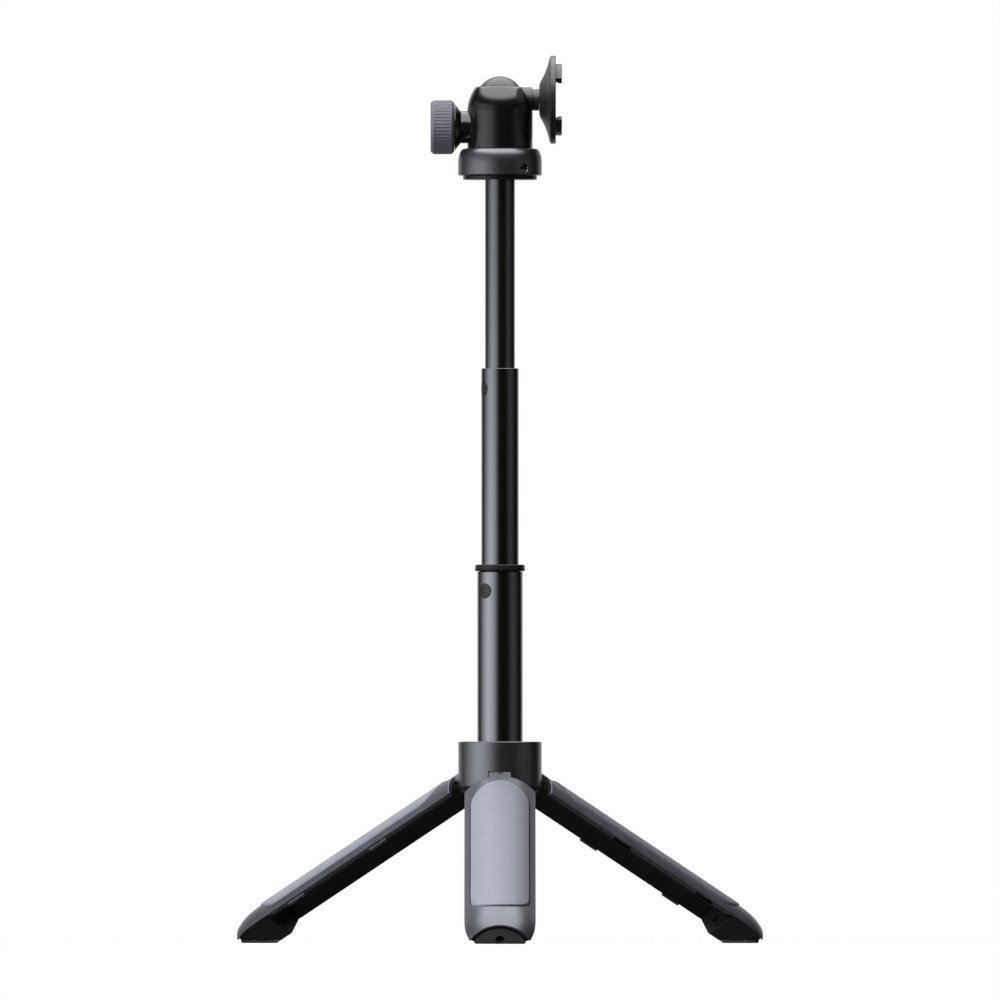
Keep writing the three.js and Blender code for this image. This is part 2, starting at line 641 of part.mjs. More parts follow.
// A curved claw's outline swept round the plate's axis, either side of +Z. Grow moves its two ends out.
function clawArc(outline, grow) {
  const reach = 20;
  const turn = HOOK.turn * DEG;
  const side = reach * Math.tan(turn) + grow / Math.cos(turn);
  const fan = new THREE.Shape([
    new THREE.Vector2(-grow / Math.cos(turn), 0), new THREE.Vector2(grow / Math.cos(turn), 0),
    new THREE.Vector2(side, reach), new THREE.Vector2(-side, reach),
  ]);
  const wedge = new THREE.ExtrudeGeometry(fan, { depth: 30, bevelEnabled: false })
    .rotateX(Math.PI / 2)
    .rotateZ(Math.PI / 2);
  return common(turnedX(outline), wedge);
}

// A hook has a lip that overhangs towards the plate's centre.
function makeHook() {
  const edge = 0.3;
  return clawArc([
    [HOOK.neck, HOOK.root], [HOOK.neck, PLATE_FACE + edge], [HOOK.inner, HOOK.lip],
    [HOOK.inner, HOOK.top - edge], [HOOK.inner + edge, HOOK.top], [HOOK.outer - edge, HOOK.top],
    [HOOK.outer, HOOK.top - edge], [HOOK.outer, HOOK.root],
  ], 0);
}

function addPlate() {
  const frame = new THREE.Group();
  frame.position.z = BALL_Z;
  assembly.add(frame);
  place(frame, 'camera_plate', makePlate(), FINISH.plate);
  place(frame, 'hook_upper', makeHook(), FINISH.plate);
  place(frame, 'hook_lower', makeHook().rotateX(Math.PI), FINISH.plate);
  for (const [name, side] of [['magnet_front', -1], ['magnet_rear', 1]]) {
    const magnet = pinX(MAGNET.r, PLATE_FACE - MAGNET.depth + GAP, PLATE_FACE - GAP);
    place(frame, name, magnet.translate(0, side * MAGNET.offset, 0), FINISH.steel);
  }
  const { headR, shankR, socketR, from, sunk, headLong } = PLATE_SCREW;
  const top = PLATE_FACE - sunk;
  const screw = turnedX([
    [0, from], [shankR, from], [shankR, top - headLong], [headR, top - headLong], [headR, top], [0, top],
  ], SMALL_SEGMENTS);
  place(frame, 'plate_screw', cut(screw, pinX(socketR, top - headLong + 0.35, top + 1)), FINISH.steel);
}

addHub();
addLegs();
addPole();
addHeadBase();
addHead();
addKnob();
addBall();
addPlate();

// The origin is on the ground, at the centre of the whole object's footprint.
const extent = new THREE.Box3().setFromObject(assembly, true);
const centre = extent.getCenter(new THREE.Vector3());
const group = new THREE.Group();
assembly.position.set(-centre.x, -centre.y, -extent.min.z);
group.add(assembly);

export default group;
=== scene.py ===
"""A pocket tripod and selfie stick, standing on its three legs with the pole drawn out.

Outlines are in millimetres about the pole's axis and become metres when a mesh is made.
Legs are drawn folded, at their distance from the handle's axis, then swung to where they stand.
"""

import json
import math

import bmesh
import bpy
from mathutils import Matrix, Vector


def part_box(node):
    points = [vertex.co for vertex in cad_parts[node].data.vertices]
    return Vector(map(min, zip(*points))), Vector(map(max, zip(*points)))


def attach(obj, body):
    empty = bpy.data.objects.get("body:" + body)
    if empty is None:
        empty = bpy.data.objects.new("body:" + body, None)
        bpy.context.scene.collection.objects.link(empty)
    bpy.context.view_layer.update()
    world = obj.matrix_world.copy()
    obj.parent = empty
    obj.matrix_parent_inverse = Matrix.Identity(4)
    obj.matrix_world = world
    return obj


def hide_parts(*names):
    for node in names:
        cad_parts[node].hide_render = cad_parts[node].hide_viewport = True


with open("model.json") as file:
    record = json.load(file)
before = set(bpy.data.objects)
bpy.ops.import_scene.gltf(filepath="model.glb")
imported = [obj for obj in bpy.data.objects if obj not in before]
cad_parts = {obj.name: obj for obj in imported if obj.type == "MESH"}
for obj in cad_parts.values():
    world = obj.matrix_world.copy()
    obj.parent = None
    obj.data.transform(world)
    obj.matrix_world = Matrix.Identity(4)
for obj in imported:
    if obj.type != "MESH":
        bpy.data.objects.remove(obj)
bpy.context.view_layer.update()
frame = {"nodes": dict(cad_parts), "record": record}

MM = 0.001
ROUND = 128  # steps round a turned piece
SMALL_ROUND = 40
GAP = 0.15


def axis_of(node):
    """The middle of a node's box, on the ground, in mm."""
    low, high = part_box(node)
    return Vector(((low.x + high.x) / 2, (low.y + high.y) / 2, 0)) / MM


AXIS = axis_of("upper_tube")


def span(node, along="z"):
    """Lowest and highest place of a node along one direction, in mm from the pole's axis."""
    low, high = (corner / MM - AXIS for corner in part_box(node))
    return getattr(low, along), getattr(high, along)


HUB_BOTTOM, HUB_TOP = span("hub")
HUB_R = span("hub", "x")[1]
RING_BOTTOM, RING_TOP = span("base_ring")
RING_R = span("base_ring", "x")[1]
HOUSING_TOP = span("head_housing")[1]
HOUSING_R = span("head_housing", "x")[1]
BALL_Z = sum(span("camera_plate")) / 2
PLATE_BACK, PLATE_FACE = span("camera_plate", "x")
PLATE_R = (span("camera_plate")[1] - span("camera_plate")[0]) / 2
KNOB_Z = sum(span("knob_grip")) / 2
KNOB_OUT, KNOB_IN = span("knob_grip", "x")
KNOB_R = (span("knob_grip")[1] - span("knob_grip")[0]) / 2

# legs
OPEN_ANGLE = math.radians(60)
AZIMUTH = {"front": -90, "right": 30, "left": 150}
PIVOT_R = 10.8
PIVOT_Z = sum(span("hinge_pin_front")) / 2
HANDLE_R = 14.94
SHELL_IN_R = 13.0
BORE_R = 12.4
SHELL_START = 5.4
NOSE_START = 98.0
NOSE_END = 109.2
NOSE_LONG = 12.2
NOSE_DEEP = 3.6
NOSE_WALL = 0.6
OUTSIDE = 20  # past the surface of everything on a leg
BLOCK_START = 93.9
BLOCK_END = 108.3
TOE_END = 109.1
TOE_R = 10.4
TOE_CENTRE = 0.8
SOLE = 0.95
PAD_HALF = 8.64
FOOT_IN_R = 0.9
SCREW_OFFSET = 6.7
WELL_R = 1.7
WELL_DEEP = 7.5
SCREW_HOLE_R = 1.05
SCREW_HEAD_R = 1.45
SCREW_HEAD_DEEP = 1.6
PANEL_HALF = 10.55
PANEL_SPAN = (9.5, 98.7)
PANEL_GAP = 0.3
PANEL_R = 15.5
RECESS_R = 14.2
KEY_CENTRES = (40.5, 79.9)
KEY_HALF = 3.9
KEY_PROUD = 0.78
KEY_R = (13.05, 14.25)
NOTCH_HALF = 4.2
NOTCH_TOP = 61.9
TONGUE_HALF = 3.9
PIN_R = 0.8

# pole
TUBE_WALL = 0.7


def tube_sizes(node, radius, **boss):
    """A tube's outer radius, foot and mouth, and the boss on its mouth bush where it has one."""
    foot, mouth = span(node)
    return dict(r=radius, foot=foot, mouth=mouth, **boss)


LOWER = tube_sizes("lower_tube", 8.17, boss_z=126.8, boss_r=2.6, turn=42)
MIDDLE = tube_sizes("middle_tube", 6.73, boss_z=199.6, boss_r=2.4, turn=63)
UPPER = tube_sizes("upper_tube", 5.38)
SLEEVE_DEEP = 10.2
FLANGE_R = 9.1
FLANGE_TOP = span("lower_mouth_bush")[1]
RUNNING = 0.12

# head
SHOULDER_Z = 299.6
SHOULDER_IN = 3.05
BALL_R = 8.46
STEM_R = 4.5
NECK_R = 3.9
NECK_START = 11.6
GRUB_TURN = 35.7
GRUB_Z = 279.0
BOSS_R = 5.8
BOSS_END = 14.1
HOOK_INNER, HOOK_NECK, HOOK_OUTER = 10.5, 11.2, 12.9
HOOK_ROOT = 19.3
HOOK_TURN = 55


# ---------- outlines ----------

def rounded(outline, closed, steps=5):
    """An outline of (radius, height) or (radius, height, fillet) points, with its fillets as arcs."""
    points = []
    count = len(outline)
    for i, point in enumerate(outline):
        here = Vector(point[:2])
        fillet = point[2] if len(point) > 2 else 0
        if not fillet or (not closed and i in (0, count - 1)):
            points.append(here)
            continue
        back = (Vector(outline[i - 1][:2]) - here).normalized()
        on = (Vector(outline[(i + 1) % count][:2]) - here).normalized()
        half = back.angle(on) / 2
        reach = fillet / math.tan(half)
        middle = here + (back + on).normalized() * (fillet / math.sin(half))
        start = here + back * reach - middle
        sweep = start.angle_signed(here + on * reach - middle)
        for k in range(steps + 1):
            turn = -sweep * k / steps
            points.append(middle + Matrix.Rotation(turn, 2) @ start)
    return points


def arc(centre, radii, start, end, steps):
    """Points on an ellipse's arc, from one angle to another in degrees."""
    out = []
    for k in range(steps + 1):
        turn = math.radians(start + (end - start) * k / steps)
        out.append((centre[0] + radii[0] * math.cos(turn), centre[1] + radii[1] * math.sin(turn)))
    return out


# ---------- meshes ----------

def new_object(name, bm):
    bmesh.ops.recalc_face_normals(bm, faces=bm.faces)
    mesh = bpy.data.meshes.new(name)
    bm.to_mesh(mesh)
    bm.free()
    obj = bpy.data.objects.new(name, mesh)
    bpy.context.scene.collection.objects.link(obj)
    return obj


def placed(obj, matrix):
    obj.data.transform(matrix)
    if matrix.determinant() < 0:
        obj.data.flip_normals()
    return obj


ALONG_X = Matrix.Rotation(math.pi / 2, 4, "Y")
ALONG_Y = Matrix.Rotation(math.pi / 2, 4, "X")


def shift(x=0.0, y=0.0, z=0.0):
    return Matrix.Translation((x, y, z))


def turned(name, outline, steps=ROUND, ribs=None):
    """A turned solid about Z. Ribs are (count, depth, lowest height, highest height)."""
    closed = outline[0][0] > 0
    points = rounded(outline, closed)
    bm = bmesh.new()
    rings = []
    for radius, height in points:
        if radius < 1e-6:
            rings.append([bm.verts.new((0, 0, height))] * steps)
            continue
        ring = []
        for k in range(steps):
            turn = 2 * math.pi * k / steps
            cut = 0.0
            if ribs and ribs[2] <= height <= ribs[3]:
                cut = ribs[1] * (0.5 - 0.5 * math.cos(turn * ribs[0])) ** 2
            out = radius - cut
            ring.append(bm.verts.new((out * math.cos(turn), out * math.sin(turn), height)))
        rings.append(ring)
    pairs = list(zip(rings, rings[1:]))
    if closed:
        pairs.append((rings[-1], rings[0]))
    for low, high in pairs:
        for k in range(steps):
            corners = [low[k], low[(k + 1) % steps], high[(k + 1) % steps], high[k]]
            corners = list(dict.fromkeys(corners))
            if len(corners) > 2:
                bm.faces.new(corners)
    return new_object(name, bm)


def rod(name, radius, start, end, steps=SMALL_ROUND):
    return turned(name, [(0, start), (radius, start), (radius, end), (0, end)], steps)


def prism(name, outline, low, high):
    """A flat outline of (x, y) points, carried from one height to another."""
    bm = bmesh.new()
    floor = [bm.verts.new((*point, low)) for point in outline]
    roof = [bm.verts.new((*point, high)) for point in outline]
    bm.faces.new(floor)
    bm.faces.new(roof)
    for k in range(len(outline)):
        j = (k + 1) % len(outline)
        bm.faces.new([floor[k], floor[j], roof[j], roof[k]])
    return new_object(name, bm)


def block(name, x, y, z):
    return prism(name, [(x[0], y[0]), (x[1], y[0]), (x[1], y[1]), (x[0], y[1])], z[0], z[1])


def loft(name, sections):
    """A solid through C-shaped loops of the same number of points, closed at both ends.

    A loop starts at the middle of its outer side. Its inner side has as many points as its outer one.
    """
    bm = bmesh.new()
    loops = [[bm.verts.new(point) for point in section] for section in sections]
    for low, high in zip(loops, loops[1:]):
        for k in range(len(low)):
            j = (k + 1) % len(low)
            bm.faces.new([low[k], low[j], high[j], high[k]])
    count = len(sections[0])
    half = count // 2 + 1
    for loop in (loops[0], loops[-1]):
        for k in range(half // 2 - 1):
            bm.faces.new([loop[k], loop[k + 1], loop[half - 2 - k], loop[half - 1 - k]])
            bm.faces.new([loop[-k], loop[-k - 1], loop[half + k], loop[half - 1 + k]])
    return new_object(name, bm)


def bevel(obj, width, steps=3, angle=30):
    """Rounds every edge that is sharper than an angle."""
    modifier = obj.modifiers.new("round", "BEVEL")
    modifier.width = width
    modifier.segments = steps
    modifier.limit_method = "ANGLE"
    modifier.angle_limit = math.radians(angle)
    return applied(obj)


def applied(obj):
    graph = bpy.context.evaluated_depsgraph_get()
    mesh = bpy.data.meshes.new_from_object(obj.evaluated_get(graph))
    obj.modifiers.clear()
    old = obj.data
    obj.data = mesh
    bpy.data.meshes.remove(old)
    return obj


def combine(obj, operation, tools):
    for tool in tools:
        modifier = obj.modifiers.new(operation, "BOOLEAN")
        modifier.operation = operation
        modifier.solver = "EXACT"
        modifier.object = tool
    applied(obj)
    for tool in tools:
        mesh = tool.data
        bpy.data.objects.remove(tool)
        bpy.data.meshes.remove(mesh)
    return obj


def carve(obj, *tools):
    return combine(obj, "DIFFERENCE", tools)


def unite(obj, *tools):
    return combine(obj, "UNION", tools)


def keep(obj, *tools):
    return combine(obj, "INTERSECT", tools)


# ---------- materials ----------

class Nodes:
    """A node tree with short calls for making and joining nodes."""

    def __init__(self, tree):
        self.tree = tree

    def add(self, kind, inputs=None, **settings):
        node = self.tree.nodes.new(kind)
        for key, value in settings.items():
            setattr(node, key, value)
        for key, value in (inputs or {}).items():
            if isinstance(value, bpy.types.NodeSocket):
                self.tree.links.new(value, node.inputs[key])
            else:
                node.inputs[key].default_value = value
        return node

    def link(self, output, socket):
        self.tree.links.new(output, socket)

    def noise(self, place, scale, detail=3.0, rough=0.5):
        inputs = {"Vector": place, "Scale": scale, "Detail": detail, "Roughness": rough}
        return self.add("ShaderNodeTexNoise", inputs).outputs["Fac"]

    def ramp(self, value, stops):
        node = self.add("ShaderNodeValToRGB", {"Fac": value})
        band = node.color_ramp
        while len(band.elements) < len(stops):
            band.elements.new(0.5)
        for element, (place, color) in zip(band.elements, stops):
            element.position = place
            element.color = (*color, 1) if len(color) == 3 else color
        return node.outputs["Color"]

    def spread(self, value, low, high):
        """Turns a 0 to 1 value into a low to high one."""
        inputs = {"Value": value, "From Min": 0.0, "From Max": 1.0, "To Min": low, "To Max": high}
        return self.add("ShaderNodeMapRange", inputs).outputs["Result"]

    def mix(self, share, first, second):
        node = self.add("ShaderNodeMix", {"Factor": share}, data_type="RGBA")
        for socket, value in ((6, first), (7, second)):
            if isinstance(value, bpy.types.NodeSocket):
                self.link(value, node.inputs[socket])
            else:
                node.inputs[socket].default_value = (*value, 1)
        return node.outputs[2]


def material(name, color, rough, metal=0.0, grain=900.0, grain_depth=0.00002, mottle=0.08,
             wear_and_highlight=0.25, wear_and_highlight_color=None, rough_spread=0.06, streak=None, extra=None):
    """Moulded or coated stuff: mottled colour, fine surface grain, uneven gloss, and worn edges lightened
    also as a painted edge highlight.

    Grain is the number of grains in a metre. Streak is a stretch of the pattern along X, Y and Z.
    """
    made = bpy.data.materials.new(name)
    made.use_nodes = True
    tree = Nodes(made.node_tree)
    shader = made.node_tree.nodes["Principled BSDF"]
    shader.inputs["Metallic"].default_value = metal
    for socket, value in (extra or {}).items():
        shader.inputs[socket].default_value = value
    place = tree.add("ShaderNodeTexCoord").outputs["Object"]
    if streak:
        place = tree.add("ShaderNodeVectorMath", {0: place, 1: streak}, operation="MULTIPLY").outputs[0]
    broad = tree.noise(place, grain / 18, 4.0, 0.6)
    fine = tree.noise(place, grain, 2.0, 0.55)
    darker = tuple(c * (1 - mottle) for c in color)
    lighter = tuple(min(1.0, c * (1 + mottle)) for c in color)
    base = tree.mix(tree.ramp(broad, [(0.35, (0, 0, 0)), (0.65, (1, 1, 1))]), darker, lighter)
    speck = tree.ramp(fine, [(0.4, (0, 0, 0)), (0.62, (1, 1, 1))])
    base = tree.mix(tree.spread(speck, 0.0, mottle), base, lighter)
    # Convex edges are lightened where the broad noise is high. This is partly wear and partly a painted
    # highlight for the light that edges catch.
    point = tree.add("ShaderNodeNewGeometry").outputs["Pointiness"]
    edge = tree.ramp(point, [(0.53, (0, 0, 0)), (0.6, (1, 1, 1))])
    worn_and_highlit = tree.add("ShaderNodeMath", {0: edge, 1: broad}, operation="MULTIPLY").outputs[0]
    worn_and_highlit = tree.spread(worn_and_highlit, 0.0, wear_and_highlight)
    base = tree.mix(worn_and_highlit, base, wear_and_highlight_color or tuple(min(1.0, c * 1.8 + 0.02) for c in color))
    tree.link(base, shader.inputs["Base Color"])
    tree.link(tree.spread(broad, rough - rough_spread, rough + rough_spread), shader.inputs["Roughness"])
    bump = tree.add("ShaderNodeBump", {"Height": fine, "Distance": grain_depth, "Strength": 1.0})
    tree.link(bump.outputs["Normal"], shader.inputs["Normal"])
    return made


BRUSHED_ROUND = (1.0, 1.0, 0.03)  # scratches that run along the tube

GLOSS = {"Specular IOR Level": 1.0}

LOOKS = {
    "hub_polymer": dict(color=(0.18, 0.185, 0.202), rough=0.32, metal=0.9, grain=3200, grain_depth=0.0000012,
                        mottle=0.05, wear_and_highlight=0.15, rough_spread=0.04),
    # leg_shell: the pale edge colour is partly wear and partly a painted highlight along the shell's edges.
    "leg_shell": dict(color=(0.148, 0.154, 0.18), rough=0.38, metal=0.5, grain=2600, grain_depth=0.000004,
                      wear_and_highlight=0.2, wear_and_highlight_color=(0.45, 0.46, 0.5), extra=GLOSS),
    "soft_panel": dict(color=(0.40, 0.41, 0.49), rough=0.5, grain=3400, grain_depth=0.00001, mottle=0.035,
                       wear_and_highlight=0.12),
    "black_liner": dict(color=(0.018, 0.018, 0.0205), rough=0.42, grain=1800, grain_depth=0.000006),
    # foot_plastic: the block's own black plastic, darkened further so that the narrow groove between the toe
    # and the shell shows black. This is partly painted shade.
    "foot_plastic": dict(color=(0.024, 0.024, 0.026), rough=0.5, grain=2200, grain_depth=0.00001),
    "foot_rubber": dict(color=(0.095, 0.095, 0.103), rough=0.65, grain=1500, grain_depth=0.00002),
    "black_metal": dict(color=(0.18, 0.186, 0.198), rough=0.22, metal=1.0, grain=3000, grain_depth=0.000001,
                        mottle=0.05, wear_and_highlight=0.1, rough_spread=0.03, streak=BRUSHED_ROUND),
    "black_polymer": dict(color=(0.014, 0.014, 0.016), rough=0.35, grain_depth=0.000006),
    "head_metal": dict(color=(0.008, 0.008, 0.009), rough=0.16, grain=3500, grain_depth=0.000001,
                       wear_and_highlight=0.1, rough_spread=0.03, extra=GLOSS),
    "knob_rubber": dict(color=(0.17, 0.172, 0.205), rough=0.5, grain=3000, grain_depth=0.000008),
    "plate_metal": dict(color=(0.014, 0.0145, 0.017), rough=0.4, grain=3500, grain_depth=0.0000006,
                        wear_and_highlight=0.15, extra=GLOSS),
    "steel": dict(color=(0.25, 0.25, 0.255), rough=0.3, metal=1.0, grain=2500, grain_depth=0.000003,
                  streak=(1, 1, 0.1)),
}

MATERIALS = {name: material(name, **look) for name, look in LOOKS.items()}


# ---------- turning a mesh in mm into a piece of the object ----------

def piece(obj, body, slot, node=None, sharp=32):
    """Puts a mesh in mm, about the pole's axis, into place in metres with its slot's material, on a body's
    empty, and hides the CAD node it stands for.
    """
    obj.data.transform(Matrix.Scale(MM, 4) @ Matrix.Translation(AXIS))
    obj.data.shade_smooth()
    obj.data.set_sharp_from_angle(angle=math.radians(sharp))
    obj.data.materials.clear()
    obj.data.materials.append(MATERIALS[slot])
    even = obj.modifiers.new("even shading", "WEIGHTED_NORMAL")
    even.keep_sharp = True
    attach(obj, body)
    if node:
        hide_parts(node)
    return obj


# ---------- base ----------

def turned_to(azimuth):
    return Matrix.Rotation(math.radians(azimuth), 4, "Z")


def pin_bore(radius, half):
    return placed(rod("bore", radius, -half, half, 24), shift(PIVOT_R, 0, 0) @ ALONG_Y)


def make_hub():
    bore, seat = 8.7, 10.35
    seat_floor = HUB_TOP - 6.2
    pin_hole_half = 6.95
    hub = turned("hub_collar", [
        (bore, HUB_BOTTOM, 0.2), (HUB_R - 0.9, HUB_BOTTOM, 0.35), (HUB_R, HUB_BOTTOM + 2, 1.2),
        (HUB_R, HUB_TOP, 0.4), (seat, HUB_TOP, 0.2), (seat, seat_floor), (bore, seat_floor),
    ])
    tools = []
    for azimuth in AZIMUTH.values():
        notch = block("notch", (0, 18), (-NOTCH_HALF, NOTCH_HALF), (HUB_BOTTOM - 1, NOTCH_TOP))
        tools.append(placed(notch, turned_to(azimuth)))
        tools.append(placed(pin_bore(PIN_R + GAP, pin_hole_half), turned_to(azimuth) @ shift(z=PIVOT_Z)))
    carve(hub, *tools)
    piece(hub, "base", "hub_polymer", "hub")


# ---------- legs ----------

STAND = (shift(PIVOT_R, 0, PIVOT_Z) @ Matrix.Rotation(-OPEN_ANGLE, 4, "Y") @ shift(-PIVOT_R, 0, 0))
UNSTAND = STAND.inverted()


def wedge(outer, inner, down, gap=GAP, fillet=0.25, arc_steps=44, corner_steps=4):
    """A third of a ring at a distance down the leg, with rounded corners, as a loop of points."""
    along = Vector((0.5, math.sqrt(0.75)))
    inward = Vector((math.sqrt(0.75), -0.5))

    def corner(radius, hollow):
        side = gap + fillet
        reach = radius + fillet if hollow else radius - fillet
        middle = math.sqrt(reach ** 2 - side ** 2) * along + side * inward
        ends = [middle.normalized() * radius - middle, -inward * fillet]
        if hollow:
            ends.reverse()
        sweep = ends[0].angle_signed(ends[1])
        turns = [Matrix.Rotation(-sweep * k / corner_steps, 2) @ ends[0] for k in range(corner_steps + 1)]
        return [middle + turn for turn in turns]

    outside, inside = corner(outer, False), corner(inner, True)
    wide = math.atan2(outside[0].y, outside[0].x)
    narrow = math.atan2(inside[-1].y, inside[-1].x)
    crown = [Vector((outer * math.cos(wide * (k / arc_steps)), outer * math.sin(wide * (k / arc_steps))))
             for k in range(0, arc_steps)]
    hollow = [Vector((inner * math.cos(narrow * (k / arc_steps)), inner * math.sin(narrow * (k / arc_steps))))
              for k in range(arc_steps - 1, -1, -1)]
    upper = crown + outside + inside + hollow
    lower = [Vector((p.x, -p.y)) for p in reversed(upper)]
    loop = upper + lower[1:-1]
    return [(p.x, p.y, -down) for p in loop]


def nose(down):
    """The handle's outer radius at a distance down the leg."""
    past = max(0.0, down - NOSE_START)
    return HANDLE_R - NOSE_DEEP * (1 - math.sqrt(max(0.0, 1 - (past / NOSE_LONG) ** 2)))


def stations(start, end, round_start, round_end, step=6.0):
    """Distances down a leg, close together where an end is rounded, with how far each is drawn in."""
    steps = 4
    turns = [math.radians(90 * k / steps) for k in range(steps + 1)]
    out = [(start + round_start * (1 - math.cos(t)), round_start * (1 - math.sin(t))) for t in turns]
    first, last = start + round_start, end - round_end
    count = max(2, round((last - first) / step))
    out += [(first + (last - first) * k / count, 0.0) for k in range(1, count)]
    out += [(end - round_end * (1 - math.cos(t)), round_end * (1 - math.sin(t))) for t in reversed(turns)]
    return out


def stadium_rings(half, start, end, insets, per_arc=28, per_side=44):
    """Loops of (across, down) points that follow a round-ended outline, each drawn in by an inset."""
    rings = []
    for inset in insets:
        radius = max(half - inset, 0.0)
        ring = []
        for k in range(per_arc):
            turn = math.pi * k / per_arc
            ring.append((radius * math.cos(turn), start + half - radius * math.sin(turn)))
        for k in range(per_side):
            ring.append((-radius, start + half + (end - start - 2 * half) * k / per_side))
        for k in range(per_arc):
            turn = math.pi + math.pi * k / per_arc
            ring.append((radius * math.cos(turn), end - half - radius * math.sin(turn)))
        for k in range(per_side):
            ring.append((radius, end - half - (end - start - 2 * half) * k / per_side))
        rings.append(ring)
    return rings


def stadium_pad(name, half, start, end, radius, under, edge):
    """A pad with a round-ended outline that is wrapped on a cylinder and has a rounded rim."""
    rim_steps, flat_steps = 5, 12
    turns = [math.radians(90 * k / rim_steps) for k in range(rim_steps + 1)]
    insets = [edge * (1 - math.cos(t)) for t in turns]
    levels = [radius - edge * (1 - math.sin(t)) for t in turns]
    more = [edge + (half - edge) * k / flat_steps for k in range(1, flat_steps)] + [half - 0.001]
    insets += more
    levels += [radius] * len(more)
    rings = stadium_rings(half, start, end, insets)
    bm = bmesh.new()

    def level(points, height):
        return [
            bm.verts.new((math.sqrt(height ** 2 - across ** 2), across, -down))
            for across, down in points
        ]

    top = [level(ring, height) for ring, height in zip(rings, levels)]
    base = [level(ring, under) for ring in rings]
    skins = [(a, b) for a, b in zip(top, top[1:])] + [(b, a) for a, b in zip(base, base[1:])]
    skins.append((base[0], top[0]))
    for outer, inner in skins:
        for k in range(len(outer)):
            j = (k + 1) % len(outer)
            bm.faces.new([outer[k], outer[j], inner[j], inner[k]])
    for innermost in (top[-1], base[-1]):
        bm.faces.new(innermost)
    bmesh.ops.remove_doubles(bm, verts=bm.verts, dist=0.004)
    return new_object(name, bm)


def below(height):
    """Everything under a height above the ground, as the standing leg's own frame sees it."""
    return placed(block("ground", (0, 160), (-25, 25), (-60, height)), UNSTAND)


def key_blocks(grow, proud, radii, side):
    solids = []
    for centre in KEY_CENTRES:
        half = KEY_HALF + grow
        solid = block("key", radii, (-1.2, proud), (-centre - half, -centre + half))
        if not grow:
            bevel(solid, 0.25)
        solids.append(placed(solid, turned_to(60 if side > 0 else -60)))
    return solids


def make_tongue():
    """Runs from the shell to the hinge pin, with a slanted top that meets the notch's roof."""
    top, root = 1.2, -6.6
    outer = HANDLE_R - 0.02
    outline = [
        (PIVOT_R - 1.1, top), (12, top), (13.35, 0), (outer, -2.75), (outer, root),
        (SHELL_IN_R + 0.05, root), (11.2, -3), (PIVOT_R - 1.1, -top),
    ]
    flat = prism("tongue", outline, -TONGUE_HALF, TONGUE_HALF)
    placed(flat, Matrix.Rotation(math.pi / 2, 4, "X"))
    keep(flat, rod("handle", outer, -20, 10, ROUND))
    eye = placed(rod("eye", 1.7, -TONGUE_HALF, TONGUE_HALF), shift(PIVOT_R, 0, 0) @ ALONG_Y)
    unite(flat, eye)
    bevel(flat, 0.18, 2)
    return carve(flat, pin_bore(PIN_R + 0.1, 6))


def make_shell():
    thin_from = BLOCK_START - 1.5
    sections = []
    for down, inset in stations(SHELL_START, NOSE_END, 0.35, 0.22, step=3.0):
        outer = nose(down) - inset
        inner = SHELL_IN_R if down < thin_from else nose(down) - NOSE_WALL
        sections.append(wedge(outer, inner + inset, down, GAP + inset))
    shell = loft("leg_shell", sections)
    start, end = PANEL_SPAN[0] - PANEL_GAP, PANEL_SPAN[1] + PANEL_GAP
    recess = stadium_pad("recess", PANEL_HALF + PANEL_GAP, start, end, 18, RECESS_R, 0.01)
    ways = key_blocks(0.25, KEY_PROUD + 0.5, (KEY_R[0] - 1.5, KEY_R[1] + 0.35), -1)
    carve(shell, recess, below(SOLE), *ways)
    unite(shell, make_tongue(), *key_blocks(0, KEY_PROUD, KEY_R, 1))
    return shell


def make_liner():
    outer = SHELL_IN_R - 0.1
    sections = []
    for down, inset in stations(SHELL_START + 1, BLOCK_START - GAP, 0.1, 0.1, step=8):
        sections.append(wedge(outer - inset, BORE_R + inset, down, GAP + inset, 0.12))
    return loft("leg_liner", sections)


def well():
    """The hole in the toe that the foot's screw goes in by."""
    deep = -TOE_END + WELL_DEEP
    return turned("well", [(0, -TOE_END - 1), (WELL_R, -TOE_END - 1), (WELL_R, deep), (0, deep)], SMALL_ROUND)


def third(name, start, end):
    """Everything in one leg's third of the handle, between two distances down the leg."""
    return loft(name, [wedge(OUTSIDE, FOOT_IN_R, down, GAP) for down in (start, end)])


def make_foot_block():
    sections = []
    for down, inset in stations(BLOCK_START, BLOCK_END, 0.3, 0.1, step=1.2):
        outer = nose(down) - NOSE_WALL - GAP - inset
        sections.append(wedge(outer, FOOT_IN_R + inset, down, GAP + inset, 0.25))
    foot = loft("foot_block", sections)
    holes = [
        rod("bore", SCREW_HOLE_R, -TOE_END - 1, -BLOCK_START + 1),
        rod("recess", SCREW_HEAD_R, -BLOCK_START - SCREW_HEAD_DEEP, -BLOCK_START + 1),
        well(),
    ]
    return carve(foot, *[placed(hole, shift(SCREW_OFFSET)) for hole in holes], below(SOLE))


def make_pad():
    """A rubber sole, with a toe that covers the block's end."""
    sole = third("foot_pad", BLOCK_START, TOE_END)
    sheet = placed(block("sheet", (80, 120), (-PAD_HALF, PAD_HALF), (0, SOLE - 0.03)), UNSTAND)
    keep(sole, sheet)
    back = -BLOCK_END - GAP
    toe = turned("toe", [(0, -TOE_END), (TOE_R, -TOE_END, 0.2), (TOE_R, back), (0, back)])
    keep(placed(toe, shift(TOE_CENTRE)), third("limit", BLOCK_START, TOE_END + 1))
    carve(toe, below(0))
    unite(sole, toe)
    return carve(sole, placed(well(), shift(SCREW_OFFSET)))


